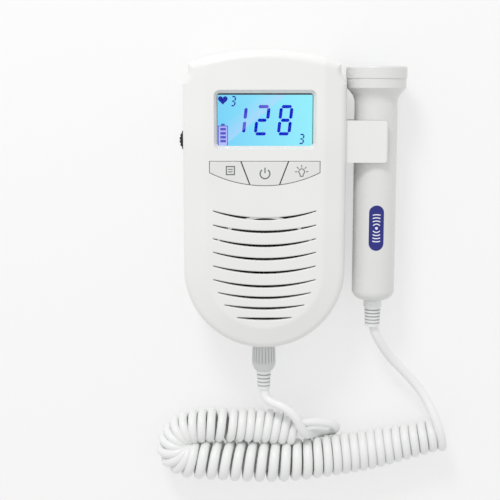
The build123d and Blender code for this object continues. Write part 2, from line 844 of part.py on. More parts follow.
for place, key_name in ((-1, "key_menu"), (0, "key_power"), (1, "key_light")):
    with BuildPart() as key:
        with BuildSketch(Plane.XY.offset(key_flange_bottom)):
            add(key_panel(-slide_gap))
            add(key_zone(place), mode=Mode.INTERSECT)
        extrude(amount=case_depth + key_proud - key_flange_bottom)
        chamfer(key.faces().sort_by(Axis.Z)[-1].edges(), length=key_edge)
        with BuildSketch(Plane.XY.offset(key_flange_bottom)):
            add(key_panel(key_flange))
            add(key_zone(place), mode=Mode.INTERSECT)
        extrude(amount=key_flange_thickness)
        rod((key_stem_x[place + 1], key_middle_y, key_stem_bottom), (0, 0, 1),
            key_stem_radius, key_flange_bottom - key_stem_bottom)
    save(key.part, key_name)

# ---------------------------------------------------------------- volume wheel
with BuildPart() as volume_wheel:
    with BuildSketch(Plane.XY.offset(wheel_bottom)):
        with Locations(wheel_centre):
            Circle(wheel_radius)
            Circle(wheel_shaft_radius + running_gap, mode=Mode.SUBTRACT)
            with PolarLocations(wheel_radius, wheel_grooves):
                Circle(wheel_groove_radius, mode=Mode.SUBTRACT)
    extrude(amount=wheel_thickness)
    # the web between hub and rim is thinner than both
    for web_z in (wheel_bottom - 1, wheel_top - wheel_web_recess):
        with BuildSketch(Plane.XY.offset(web_z)):
            with Locations(wheel_centre):
                Circle(wheel_radius - wheel_rim)
                Circle(wheel_shaft_radius + wheel_rim, mode=Mode.SUBTRACT)
        extrude(amount=1 + wheel_web_recess, mode=Mode.SUBTRACT)
save(volume_wheel.part, "volume_wheel")

with BuildPart() as volume_pot:
    pot_x = wheel_centre[0] - pot_overhang
    block(
        (pot_x, wheel_centre[1] - pot_length / 2, board_bottom - pot_thickness),
        (pot_x + pot_width, wheel_centre[1] + pot_length / 2, board_bottom),
    )
    head_top = wheel_bottom - small_gap
    rod((*wheel_centre, board_bottom - pot_thickness), (0, 0, -1),
        wheel_shaft_radius, board_bottom - pot_thickness - head_top)
    rod((*wheel_centre, head_top), (0, 0, -1), pot_head_radius, pot_head_height)
    rod((*wheel_centre, wheel_top + small_gap), (0, 0, 1),
        pot_head_radius, board_bottom - pot_thickness - wheel_top - small_gap)
save(volume_pot.part, "volume_pot")

# ---------------------------------------------------------------- earphone socket
with BuildPart() as earphone_socket:
    body_end_x = -side_x + earphone_bore_depth + earphone_end_wall
    block(
        (-wall_x + small_gap, earphone_y - earphone_body_width / 2, earphone_z - earphone_body_width / 2),
        (body_end_x, earphone_y + earphone_body_width / 2, board_bottom),
    )
    rod((-side_x, earphone_y, earphone_z), (1, 0, 0), earphone_nose_radius, case_wall + 1)
    rod((-side_x, earphone_y, earphone_z), (1, 0, 0),
        earphone_bore_radius, earphone_bore_depth, mode=Mode.SUBTRACT)
save(earphone_socket.part, "earphone_socket")

# ---------------------------------------------------------------- loudspeaker
speaker_inner = speaker_radius - speaker_flange_width
speaker_floor = gasket_bottom - speaker_depth
speaker_middle = (0, speaker_centre_y, 0)
speaker_plane = Plane(origin=speaker_middle, x_dir=(1, 0, 0), z_dir=(0, -1, 0))

with BuildPart() as speaker_gasket:
    with BuildSketch(Plane.XY.offset(gasket_bottom)):
        with Locations((0, speaker_centre_y)):
            Circle(speaker_radius)
            Circle(speaker_inner, mode=Mode.SUBTRACT)
    extrude(amount=gasket_thickness)
save(speaker_gasket.part, "speaker_gasket")

with BuildPart() as speaker_frame:
    with BuildSketch(speaker_plane):
        with BuildLine():
            Polyline(
                (speaker_inner, gasket_bottom),
                (speaker_radius, gasket_bottom),
                (speaker_radius, speaker_flange_bottom),
                (speaker_inner + speaker_wall, speaker_flange_bottom),
                (magnet_radius + speaker_wall, speaker_floor),
                (voice_coil_radius + speaker_wall, speaker_floor),
                (voice_coil_radius + speaker_wall, speaker_floor + speaker_wall),
                (magnet_radius, speaker_floor + speaker_wall),
                close=True,
            )
        make_face()
    revolve(axis=Axis(speaker_middle, (0, 0, 1)))
    # windows in the sloping wall
    window_low = speaker_floor + 2 * speaker_wall
    with BuildSketch(Plane.XY.offset(window_low)):
        with Locations((0, speaker_centre_y)):
            with PolarLocations((magnet_radius + speaker_radius) / 2, speaker_windows):
                Rectangle(speaker_radius - magnet_radius, speaker_window_width)
    extrude(amount=speaker_flange_bottom - speaker_wall - window_low, mode=Mode.SUBTRACT)
save(speaker_frame.part, "speaker_frame")

with BuildPart() as speaker_cone:
    cone_low = speaker_floor + 3 * speaker_wall
    cone_rim = speaker_inner - speaker_wall - frame_gap
    with BuildSketch(speaker_plane):
        with BuildLine():
            Polyline(
                (0, cone_low + dust_cap_rise + cone_thickness), (0, cone_low + dust_cap_rise),
                (dust_cap_radius, cone_low), (cone_roll, gasket_bottom - cone_thickness),
                (cone_rim, gasket_bottom - cone_thickness), (cone_rim, gasket_bottom),
            )
            # the surround stands up as a low roll
            ThreePointArc(
                (cone_rim, gasket_bottom), ((cone_roll + cone_rim) / 2, gasket_bottom + cone_roll_rise),
                (cone_roll - cone_thickness, gasket_bottom),
            )
            Polyline(
                (cone_roll - cone_thickness, gasket_bottom), (dust_cap_radius, cone_low + cone_thickness),
                (0, cone_low + dust_cap_rise + cone_thickness),
            )
        make_face()
    revolve(axis=Axis(speaker_middle, (0, 0, 1)))
save(speaker_cone.part, "speaker_cone")

with BuildPart() as speaker_magnet:
    with BuildSketch(Plane.XY.offset(speaker_floor - magnet_height)):
        with Locations((0, speaker_centre_y)):
            Circle(magnet_radius)
    extrude(amount=magnet_height)
    chamfer(speaker_magnet.faces().sort_by(Axis.Z)[0].edges(), length=magnet_chamfer)
    with BuildSketch(Plane.XY.offset(speaker_floor)):
        with Locations((0, speaker_centre_y)):
            Circle(voice_coil_radius)
    extrude(amount=2 * speaker_wall)
save(speaker_magnet.part, "speaker_magnet")

# ---------------------------------------------------------------- batteries
with BuildPart() as batteries:
    for side in (-1, 1):
        # one cell points up, the other down
        cell_low_y = bay_low_y + plate_thickness + (spring_length if side > 0 else cell_end_gap)
        body_length = cell_length - cell_nub_height
        body_low_y = cell_low_y if side > 0 else cell_low_y + cell_nub_height
        rod((side * cell_pitch / 2, body_low_y, cell_z), (0, 1, 0), cell_radius, body_length)
        nub_low_y = cell_low_y + body_length if side > 0 else cell_low_y
        rod((side * cell_pitch / 2, nub_low_y, cell_z), (0, 1, 0), cell_nub_radius, cell_nub_height)
save(batteries.part, "batteries")

with BuildPart() as battery_plates:
    for plate_y in (bay_low_y, bay_high_y - plate_thickness):
        for side in (-1, 1):
            block(
                (side * cell_pitch / 2 - plate_half, plate_y, cell_z - plate_half),
                (side * cell_pitch / 2 + plate_half, plate_y + plate_thickness, cell_z + plate_half),
            )
save(battery_plates.part, "battery_plates")

with BuildPart() as battery_springs:
    # conical springs press on the flat ends of the cells
    spring_rise = spring_length - 2 * spring_wire - 2 * small_gap
    for side in (-1, 1):
        wide_y = bay_low_y + plate_thickness if side > 0 else bay_high_y - plate_thickness
        with BuildLine() as spring_line:
            Helix(
                pitch=spring_rise / spring_turns,
                height=spring_rise,
                radius=spring_radius,
                center=(side * cell_pitch / 2, wide_y + side * (spring_wire + small_gap), cell_z),
                direction=(0, side, 0),
                cone_angle=-spring_cone_angle,
            )
        spring_wire_plane = Plane(origin=spring_line.line @ 0, z_dir=spring_line.line % 0)
        with BuildSketch(spring_wire_plane):
            Circle(spring_wire)
        sweep(path=spring_line.line, is_frenet=True)
save(battery_springs.part, "battery_springs")

# ---------------------------------------------------------------- probe socket and plug
with BuildPart() as probe_socket:
    flange_y = bottom_centre - sqrt(wall_x**2 - socket_flange_radius**2) + small_gap
    bore_end = socket_end + socket_bore_depth
    rod((0, socket_end, plug_axis_z), (0, 1, 0), socket_nose_radius, socket_body_start - socket_end)
    rod((0, socket_body_start, plug_axis_z), (0, 1, 0), socket_body_radius,
        socket_body_end - socket_body_start)
    rod((0, flange_y, plug_axis_z), (0, 1, 0), socket_flange_radius, socket_flange_thickness)
    rod((0, socket_end, plug_axis_z), (0, 1, 0), socket_bore_radius, socket_bore_depth, mode=Mode.SUBTRACT)
    core_radius = shroud_outer - shroud_wall - core_gap
    rod((0, socket_end + core_recess, plug_axis_z), (0, 1, 0), core_radius, socket_bore_depth - core_recess)
    for pin in range(pin_count):
        angle = radians(90 + pin_spread * (pin - (pin_count - 1) / 2))
        pin_x = pin_circle_radius * cos(angle)
        pin_z = plug_axis_z + pin_circle_radius * sin(angle)
        rod((pin_x, socket_end, pin_z), (0, 1, 0), pin_radius + small_gap, socket_bore_depth,
            mode=Mode.SUBTRACT)
save(probe_socket.part, "probe_socket")

plug_face = bottom_end - plug_gap
plug_plane = Plane(origin=(0, 0, plug_axis_z), x_dir=(1, 0, 0), z_dir=(0, 0, 1))
plug_axis = Axis((0, 0, plug_axis_z), (0, 1, 0))
plug_round = plug_face - plug_grip_length
plug_tail = plug_round - sqrt(plug_radius**2 - plug_tail_radius**2)
boot_end = plug_tail - boot_length

with BuildPart() as plug_shell:
    with BuildSketch(plug_plane):
        with BuildLine():
            # a grip that widens a little, and a ball-shaped tail
            Polyline((0, plug_face), (plug_mouth_radius - plug_edge, plug_face),
                     (plug_mouth_radius, plug_face - plug_edge), (plug_radius, plug_round))
            RadiusArc((plug_radius, plug_round), (plug_tail_radius, plug_tail), plug_radius)
            Polyline((plug_tail_radius, plug_tail), (0, plug_tail), (0, plug_face))
        make_face()
    revolve(axis=plug_axis)
    for ridge in range(plug_ridges):
        angle = radians(360 * ridge / plug_ridges)
        rod(
            (plug_mouth_radius * cos(angle), plug_face - plug_edge - plug_ridge_radius,
             plug_axis_z + plug_mouth_radius * sin(angle)),
            (0, -1, 0), plug_ridge_radius, plug_grip_length - 2 * plug_edge, mode=Mode.SUBTRACT,
        )
    rod((0, plug_face, plug_axis_z), (0, -1, 0), contact_base_radius + running_gap,
        contact_base_thickness, mode=Mode.SUBTRACT)
save(plug_shell.part, "plug_shell")

with BuildPart() as plug_contacts:
    rod((0, plug_face, plug_axis_z), (0, -1, 0), contact_base_radius, contact_base_thickness)
    rod((0, plug_face, plug_axis_z), (0, 1, 0), shroud_outer, plug_travel)
    rod((0, plug_face, plug_axis_z), (0, 1, 0), shroud_outer - shroud_wall, plug_travel, mode=Mode.SUBTRACT)
    for pin in range(pin_count):
        angle = radians(90 + pin_spread * (pin - (pin_count - 1) / 2))
        pin_x = pin_circle_radius * cos(angle)
        pin_z = plug_axis_z + pin_circle_radius * sin(angle)
        rod((pin_x, plug_face, pin_z), (0, 1, 0), pin_radius, plug_travel - pin_recess)
save(plug_contacts.part, "plug_contacts")

with BuildPart() as plug_boot:
    with BuildSketch(plug_plane):
        with BuildLine():
            Polyline(
                (cord_radius + loose_gap, plug_tail), (boot_start_radius, plug_tail),
                (boot_end_radius, boot_end), (cord_radius + loose_gap, boot_end), close=True,
            )
        make_face()
    revolve(axis=plug_axis)
    for ring in range(boot_rings):
        ring_y = plug_tail - boot_length * (ring + 1) / (boot_rings + 1)
        with BuildSketch(plug_plane):
            with Locations((boot_start_radius + boot_ring_depth, ring_y)):
                Rectangle(2 * (boot_start_radius - boot_end_radius + boot_ring_depth), boot_ring_width)
        revolve(axis=plug_axis, mode=Mode.SUBTRACT)
save(plug_boot.part, "plug_boot")

# ---------------------------------------------------------------- clip on the side of the case
clip_middle = probe_z
jaw_radius = handle_radius + clip_gap
clip_reach = clip_tip_x - side_x + clip_corner

with BuildPart() as probe_clip:
    with BuildSketch(Plane(origin=(0, clip_low_y, 0), x_dir=(1, 0, 0), z_dir=(0, -1, 0))):
        with Locations(((side_x + clip_tip_x) / 2, clip_middle)):
            RectangleRounded(clip_tip_x - side_x, 2 * (jaw_radius + clip_arm), clip_edge)
        with Locations((side_x + clip_arm / 2, clip_middle)):
            Rectangle(clip_arm, 2 * (jaw_radius + clip_arm))
        with Locations((probe_x, clip_middle)):
            Circle(jaw_radius, mode=Mode.SUBTRACT)
        with Locations((probe_x + jaw_radius, clip_middle)):
            Rectangle(2 * jaw_radius, 2 * jaw_radius, mode=Mode.SUBTRACT)
    extrude(amount=clip_low_y - clip_high_y)
    with BuildSketch(Plane.XY):
        with Locations((clip_tip_x - clip_reach, (clip_low_y + clip_high_y) / 2)):
            RectangleRounded(2 * clip_reach, clip_high_y - clip_low_y, clip_corner)
    extrude(amount=case_depth, mode=Mode.INTERSECT)
    for screw_y in clip_screw_places:
        rod((side_x, screw_y, clip_screw_z), (1, 0, 0), clip_screw_radius + running_gap,
            clip_screw_length - case_wall + loose_gap, mode=Mode.SUBTRACT)
save(probe_clip.part, "probe_clip")

with BuildPart() as clip_screws:
    for screw_y in clip_screw_places:
        rod((wall_x - clip_screw_head_height, screw_y, clip_screw_z), (1, 0, 0),
            clip_screw_head_radius, clip_screw_head_height)
        rod((wall_x, screw_y, clip_screw_z), (1, 0, 0), clip_screw_radius, clip_screw_length)
save(clip_screws.part, "clip_screws")

# ---------------------------------------------------------------- probe
probe_plane = Plane(origin=(probe_x, 0, probe_z), x_dir=(1, 0, 0), z_dir=(0, 0, 1))
probe_axis = Axis((probe_x, 0, probe_z), (0, 1, 0))
head_inner = head_low_radius - head_wall
handle_inner = handle_radius - handle_wall
end_inside = handle_low_y + handle_wall
spigot_radius = head_inner - small_gap
face_seat = head_high_y - face_recess

with BuildPart() as label_pocket:
    with BuildSketch(Plane.XY.offset(probe_z)):
        with Locations((probe_x, label_centre_y)):
            SlotOverall(label_length, label_width, rotation=90)
    extrude(amount=handle_radius * 2)
    rod((probe_x, handle_low_y, probe_z), (0, 1, 0), handle_radius - label_depth,
        handle_high_y - handle_low_y, mode=Mode.SUBTRACT)

with BuildPart() as probe_handle:
    with BuildSketch(probe_plane):
        with BuildLine():
            Line((0, handle_low_y), (handle_radius - handle_end_radius, handle_low_y))
            RadiusArc((handle_radius - handle_end_radius, handle_low_y),
                      (handle_radius, handle_low_y + handle_end_radius), -handle_end_radius)
            Line((handle_radius, handle_low_y + handle_end_radius),
                 (handle_radius, handle_high_y - flare_run))
            Spline(
                (handle_radius, handle_high_y - flare_run), (head_low_radius, neck_high_y),
                tangents=((0, 1), (0.9, 1)),
            )
            Polyline(
                (head_low_radius, neck_high_y), (head_low_radius, head_seam_y), (head_inner, head_seam_y),
                (head_inner, neck_high_y), (handle_inner, handle_high_y - flare_run),
                (handle_inner, end_inside), (0, end_inside), (0, handle_low_y),
            )
        make_face()
    revolve(axis=probe_axis)
    rod((probe_x, handle_low_y - 1, probe_z), (0, 1, 0), relief_neck_radius + running_gap,
        handle_wall + 2, mode=Mode.SUBTRACT)
    add(label_pocket.part, mode=Mode.SUBTRACT)
save(probe_handle.part, "probe_handle")

with BuildPart() as probe_label:
    with BuildSketch(Plane.XY.offset(probe_z)):
        with Locations((probe_x, label_centre_y)):
            SlotOverall(label_length - small_gap, label_width - small_gap, rotation=90)
    extrude(amount=handle_radius * 2)
    rod((probe_x, label_centre_y - label_length, probe_z), (0, 1, 0), handle_radius + running_gap,
        2 * label_length, mode=Mode.INTERSECT)
    rod((probe_x, label_centre_y - label_length, probe_z), (0, 1, 0),
        handle_radius - label_depth + running_gap, 2 * label_length, mode=Mode.SUBTRACT)
save(probe_label.part, "probe_label")

with BuildPart() as probe_cap:
    with BuildSketch(probe_plane):
        with BuildLine():
            Polyline(
                (holder_radius + running_gap, spigot_low_y), (spigot_radius, spigot_low_y),
                (spigot_radius, head_seam_y), (head_radius, head_seam_y),
                (head_radius, head_high_y - head_edge_radius),
            )
            RadiusArc((head_radius, head_high_y - head_edge_radius),
                      (head_radius - head_edge_radius, head_high_y), -head_edge_radius)
            Polyline(
                (head_radius - head_edge_radius, head_high_y), (face_radius + small_gap, head_high_y),
                (face_radius + small_gap, face_seat), (holder_radius + running_gap, face_seat),
                (holder_radius + running_gap, spigot_low_y),
            )
        make_face()
    revolve(axis=probe_axis)
save(probe_cap.part, "probe_cap")

with BuildPart() as probe_face:
    with BuildSketch(probe_plane):
        with BuildLine():
            Polyline((0, face_seat), (face_radius, face_seat), (face_radius, head_high_y))
            Spline((face_radius, head_high_y), (0, head_high_y + face_dome),
                   tangents=((-1, 2 * face_dome / face_radius), (-1, 0)))
            Line((0, head_high_y + face_dome), (0, face_seat))
        make_face()
    revolve(axis=probe_axis)
save(probe_face.part, "probe_face")

with BuildPart() as crystal_holder:
    rod((probe_x, holder_low_y, probe_z), (0, 1, 0), holder_radius,
        face_seat - crystal_thickness - holder_low_y)
    rod((probe_x, holder_low_y, probe_z), (0, 1, 0), holder_radius - head_wall, holder_pocket,
        mode=Mode.SUBTRACT)
save(crystal_holder.part, "crystal_holder")

with BuildPart() as crystal_pair:
    # two half discs, one sends and one receives
    rod((probe_x, face_seat - crystal_thickness, probe_z), (0, 1, 0), crystal_radius, crystal_thickness)
    block(
        (probe_x - crystal_split / 2, face_seat - 2 * crystal_thickness, probe_z - holder_radius),
        (probe_x + crystal_split / 2, face_seat + crystal_thickness, probe_z + holder_radius),
        mode=Mode.SUBTRACT,
    )
save(crystal_pair.part, "crystal_pair")

with BuildPart() as probe_board:
    block(
        (probe_x - probe_board_half, probe_board_low_y, probe_z - probe_board_thickness / 2),
        (probe_x + probe_board_half, probe_board_high_y, probe_z + probe_board_thickness / 2),
    )
    for chip_y, chip_length in probe_chips:
        block(
            (probe_x - chip_length / 2, chip_y - chip_length / 2, probe_z),
            (probe_x + chip_length / 2, chip_y + chip_length / 2, probe_z + probe_board_thickness * 1.5),
        )
save(probe_board.part, "probe_board")

relief_end = handle_low_y - relief_length
with BuildPart() as probe_strain_relief:
    rod((probe_x, end_inside, probe_z), (0, 1, 0), collar_radius, relief_flange)
    rod((probe_x, handle_low_y, probe_z), (0, 1, 0), relief_neck_radius, handle_wall)
    with BuildSketch(probe_plane):
        with BuildLine():
            Polyline(
                (0, handle_low_y), (collar_radius - relief_edge, handle_low_y),
                (collar_radius, handle_low_y - relief_edge), (collar_radius, handle_low_y - collar_length),
                (relief_start_radius, handle_low_y - collar_length - relief_edge),
                (relief_end_radius, relief_end), (0, relief_end), close=True,
            )
        make_face()
    revolve(axis=probe_axis)
    for ring in range(relief_rings):
        ring_y = handle_low_y - collar_length - relief_ring_start - relief_ring_pitch * ring
        with BuildSketch(probe_plane):
            with Locations((relief_start_radius + relief_ring_depth, ring_y)):
                Rectangle(2 * (relief_start_radius - relief_end_radius + relief_ring_depth),
                          relief_ring_width)
        revolve(axis=probe_axis, mode=Mode.SUBTRACT)
save(probe_strain_relief.part, "probe_strain_relief")

# ---------------------------------------------------------------- cord
save(cord_tube(plug_lead_points, cord_radius), "cord_plug_end")
save(cord_tube(curl_points, coil_radius), "cord_curl")
save(cord_tube(probe_lead_points, cord_radius), "cord_probe_end")
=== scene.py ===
"""Looks of the fetal doppler monitor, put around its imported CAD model.

Adds the curly cord with its two leads, the lit display's figures, the signs on the keys, the mark on
the probe's label, the materials, the floor and the light.
"""

from math import cos, radians, sin, sqrt, tau

import bpy
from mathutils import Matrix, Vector


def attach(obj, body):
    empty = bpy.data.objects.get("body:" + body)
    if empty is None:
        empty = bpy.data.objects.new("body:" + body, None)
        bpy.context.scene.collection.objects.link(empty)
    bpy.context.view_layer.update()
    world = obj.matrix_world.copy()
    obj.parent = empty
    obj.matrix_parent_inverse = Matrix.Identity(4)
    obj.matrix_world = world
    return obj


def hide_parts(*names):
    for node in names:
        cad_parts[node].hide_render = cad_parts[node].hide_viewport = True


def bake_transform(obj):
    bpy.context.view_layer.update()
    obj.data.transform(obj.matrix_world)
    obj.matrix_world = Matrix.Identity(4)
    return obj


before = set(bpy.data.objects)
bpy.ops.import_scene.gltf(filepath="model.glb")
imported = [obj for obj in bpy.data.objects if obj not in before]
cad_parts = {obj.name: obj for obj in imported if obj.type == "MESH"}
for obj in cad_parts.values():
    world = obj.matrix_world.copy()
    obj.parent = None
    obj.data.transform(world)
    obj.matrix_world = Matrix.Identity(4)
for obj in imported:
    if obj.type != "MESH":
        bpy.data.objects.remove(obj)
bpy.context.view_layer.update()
MM = 0.001


def link(obj):
    """Puts a new object into the scene."""
    bpy.context.scene.collection.objects.link(obj)
    return obj


# ---------------------------------------------------------------- camera
CAMERA_PLACE = (-6.451, 51.354, 492.278)
CAMERA_TILT = -8.8  # degrees from looking straight down

camera_data = bpy.data.cameras.new("camera")
camera_data.lens = 75.6  # a focal length of 1050 pixels in a picture of 500
camera_data.sensor_width = 36.0
camera_data.clip_end = 10.0
camera = link(bpy.data.objects.new("camera", camera_data))
camera.location = Vector(CAMERA_PLACE) * MM
camera.rotation_euler = (radians(CAMERA_TILT), 0, 0)
bpy.context.scene.camera = camera


# ---------------------------------------------------------------- making pieces
TUBE_SIDES = 24


def mesh_piece(name, verts, faces, smooth=True):
    """Object from points in metres and faces."""
    data = bpy.data.meshes.new(name)
    data.from_pydata([tuple(v) for v in verts], [], faces)
    data.update()
    data.polygons.foreach_set("use_smooth", [smooth] * len(data.polygons))
    return link(bpy.data.objects.new(name, data))


def nurbs(name, points, order=3, resolution=24):
    """Curve of one open spline that has the points as its control points."""
    data = bpy.data.curves.new(name, "CURVE")
    data.dimensions = "3D"
    data.resolution_u = resolution
    spline = data.splines.new("NURBS")
    spline.points.add(len(points) - 1)
    for knot, place in zip(spline.points, points):
        knot.co = (*(Vector(place) * MM), 1)
    spline.order_u = order
    spline.use_endpoint_u = True
    return data


def line_of(route):
    """Points along the smooth line that a route's control points give."""
    data = nurbs("route", route)
    holder = bpy.data.objects.new("route", data)
    mesh = bpy.data.meshes.new_from_object(holder)
    line = [v.co / MM for v in mesh.vertices]
    bpy.data.objects.remove(holder)
    bpy.data.curves.remove(data)
    bpy.data.meshes.remove(mesh)
    return line


def tube(name, line, radius):
    """Round mesh tube along a line of points, with closed ends."""
    verts, faces = [], []
    last = len(line) - 1
    tangents = [(line[min(i + 1, last)] - line[max(i - 1, 0)]).normalized() for i in range(last + 1)]
    side = tangents[0].orthogonal().normalized()
    for place, along in zip(line, tangents):
        side = (side - along * side.dot(along)).normalized()
        other = along.cross(side)
        for k in range(TUBE_SIDES):
            turn = tau * k / TUBE_SIDES
            verts.append((place + (side * cos(turn) + other * sin(turn)) * radius) * MM)
    for i in range(last):
        for k in range(TUBE_SIDES):
            a, b = i * TUBE_SIDES + k, i * TUBE_SIDES + (k + 1) % TUBE_SIDES
            faces.append((a, b, b + TUBE_SIDES, a + TUBE_SIDES))
    faces.append(tuple(reversed(range(TUBE_SIDES))))
    faces.append(tuple(range(last * TUBE_SIDES, (last + 1) * TUBE_SIDES)))
    return mesh_piece(name, verts, faces)


# ---------------------------------------------------------------- cord
WIRE = 2.1  # radius of the cord
THICKER = 0.13  # share that the wire gains at the front left, nearest in the picture
REAR_TURN, FRONT_TURN = 6.6, 7.85  # radius of a turn in each run
TURN_POINTS = 16
FIRST_TURN = radians(62)  # angle where the helix starts, from its outer side
CLOSED_PITCH = 4.2  # distance between turns that touch
PARTED, OPENED, PINCHED = 1.1, 1.5, 1.6  # what the pitch gains or loses in places
HAIRPIN_SQUEEZE, REAR_SQUEEZE = 0.2, 0.16  # share that a turn's inner half is flattened by
WANDER = ((0.10, 0.043, 0), (0.07, 0.117, 1))  # size, rate and start of the waves in a turn's size
SWAY, SWAY_RATE, SWAY_START = 0.5, 0.061, 2  # how far turns lean along the coil
INSIDE = 1.0  # how far a lead's end goes into the coil's
# where each of these starts and ends its change, along x, and the front run's along -y
HAIRPIN_ENDS = (-41, -29)
FRONT_STARTS = (112, 122)
PARTING_STARTS, PARTING_ENDS = (-25, -22), (-17, -13)
OPENING_ENDS = (-4, 46)
THICKER_ENDS = (5, 50)


def length_along(line):
    """Distance from the line's start to each of its points."""
    run = [0.0]
    for a, b in zip(line, line[1:]):
        run.append(run[-1] + (b - a).length)
    return run


def step(x, low, high):
    """Smooth rise from 0 at low to 1 at high."""
    t = min(max((x - low) / (high - low), 0), 1)
    return t * t * (3 - 2 * t)


def bend_at(place):
    """How far a place lies inside the hairpin at the left, from 0 to 1."""
    return 1 - step(place.x, *HAIRPIN_ENDS)


def front_at(place):
    """How far a place lies in the front run, from 0 to 1."""
    return step(-place.y, *FRONT_STARTS)


def pitch_at(place):
    """Distance between turns: parted once in the rear, pinched in the hairpin, open at the front left."""
    bend, front = bend_at(place), front_at(place)
    parted = step(place.x, *PARTING_STARTS) * (1 - step(place.x, *PARTING_ENDS)) * (1 - front)
    opened = front * (1 - step(place.x, *OPENING_ENDS)) * (1 - bend)
    return CLOSED_PITCH + PARTED * parted + OPENED * opened - PINCHED * bend


def wire_at(place):
    """Radius of the coil's wire."""
    return WIRE * MM * (1 + THICKER * front_at(place) * (1 - step(place.x, *THICKER_ENDS)))


def coil_points(line):
    """Left-handed helix along a line, from FIRST_TURN to its outer side, in equal steps of angle."""
    run = length_along(line)
    phases = [0.0]
    for i in range(1, len(line)):
        phases.append(phases[-1] + tau * (run[i] - run[i - 1]) / pitch_at(line[i]))
    spare = (FIRST_TURN + phases[-1]) % tau
    scale = (phases[-1] - spare) / phases[-1]
    phases = [p * scale for p in phases]
    count = round(phases[-1] / tau * TURN_POINTS)
    up = Vector((0, 0, 1))
    points, i = [], 0
    for k in range(count + 1):
        phase = phases[-1] * k / count
        while i < len(line) - 2 and phases[i + 1] < phase:
            i += 1
        t = (phase - phases[i]) / (phases[i + 1] - phases[i])
        centre = line[i].lerp(line[i + 1], t)
        along = (line[i + 1] - line[i]).normalized()
        inner = up.cross(along).normalized()
        turn = FIRST_TURN + phase
        bend, front = bend_at(centre), front_at(centre)
        wander = sum(size * sin(phase * rate + start) for size, rate, start in WANDER)
        radius = REAR_TURN + (FRONT_TURN - REAR_TURN) * front + wander
        squeeze = HAIRPIN_SQUEEZE * bend + REAR_SQUEEZE * (1 - bend) * (1 - front)
        reach = radius * (1 + squeeze * min(cos(turn), 0))
        lift = Vector((0, 0, radius * sin(turn) + wander))
        sway = along * SWAY * sin(phase * SWAY_RATE + SWAY_START) * sin(turn)
        points.append(centre - inner * cos(turn) * reach + lift + sway)
    return points


def lead(name, route, node):
    """Plain lead that runs from a body at one end to the coil at the other, with its line."""
    line = line_of(route)
    piece = tube(name, line, WIRE)
    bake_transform(piece)
    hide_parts(node)
    return piece, line


curl_route = [
    (14.5, -110.2, 8.8), (3.0, -108.9, 8.8), (-12.0, -108.6, 8.8), (-27.0, -108.4, 8.8), (-38.6, -110.2, 9.0),
    (-42.8, -117.4, 9.4), (-38.6, -123.6, 10.1), (-26.0, -124.5, 10.35), (-8.0, -125.5, 10.35),
    (14.0, -125.2, 10.35), (37.0, -122.0, 10.2), (61.0, -117.9, 10.1), (82.8, -111.6, 10.0),
]
helix = coil_points(line_of(curl_route))
# the coil's loose first turn, which shows as a ring beside the front run
mouth = [Vector(place) for place in (
    (20.6, -110.9, 14.6), (22.6, -112.7, 9.4), (27.0, -113.3, 4.6), (32.6, -112.6, 4.2), (35.2, -110.2, 7.6),
    (34.0, -107.0, 11.6), (29.0, -105.0, 13.8), (21.4, -104.2, 14.4),
)]
coil_path = mouth + helix

coil_data = nurbs("cord_coil", coil_path, order=4, resolution=3)
coil_data.bevel_depth = 1.0  # so that a knot's radius is the wire's, in metres
coil_data.bevel_resolution = 4
coil_data.use_fill_caps = True
for knot, place in zip(coil_data.splines[0].points, coil_path):
    knot.radius = wire_at(place)
coil = link(bpy.data.objects.new("cord_coil", coil_data))
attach(coil, "console")
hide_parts("cord_curl")

# each lead meets the coil's end in line and ends a little inside it
lead_in = (mouth[0] - mouth[1]).normalized()
plug_lead, plug_line = lead("cord_plug_lead", [
    (0, -82, 15), (0, -90.6, 15.1), (2.4, -94.0, 16.8), (9.0, -95.2, 20.2), (14.6, -99.6, 21.2),
    (17.2, -105.6, 19.6), tuple(mouth[0] + lead_in * 3.0), tuple(mouth[0] - lead_in * INSIDE),
], "cord_plug_end")

lead_out = (helix[-1] - helix[-2]).normalized()
probe_lead, probe_line = lead("cord_probe_lead", [
    (50.2, -50.0, 16.2), (50.2, -58.0, 16.2), (54.0, -66.0, 14.6), (59.8, -74.8, 11.2), (67.6, -82.6, 9.2),
    (75.6, -91.8, 10.2), (80.2, -101.0, 14.8), (83.2, -109.6, 17.6), tuple(helix[-1] + lead_out * 4.5),
    tuple(helix[-1] - lead_out * INSIDE),
], "cord_probe_end")


# ---------------------------------------------------------------- drawing flat figures
MITRE = 0.4  # least cosine at a corner, so that a sharp one doesn't stick out
BLUNT = 0.35  # length of a segment's point, as a share of its width
SLANT = 0.11  # lean of a numeral
SEGMENTS = {1: "bc", 2: "abged", 3: "abgcd", 8: "abcdefg"}


def prism(name, outlines, low, thickness, body):
    """Thin flat figures with these outlines, raised from a height or from a surface low(x, y)."""
    verts, faces = [], []
    for outline in outlines:
        count, start = len(outline), len(verts)
        area = sum(a[0] * b[1] - b[0] * a[1] for a, b in zip(outline, outline[1:] + outline[:1]))
        if area < 0:
            outline = outline[::-1]
        for lift in (0, thickness):
            for x, y in outline:
                base = low(x, y) if callable(low) else low
                verts.append(Vector((x, y, base + lift)) * MM)
        faces.append(tuple(range(start + count - 1, start - 1, -1)))
        faces.append(tuple(range(start + count, start + 2 * count)))
        for i in range(count):
            j = (i + 1) % count
            faces.append((start + i, start + j, start + count + j, start + count + i))
    piece = mesh_piece(name, verts, faces, smooth=False)
    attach(piece, body)
    return piece


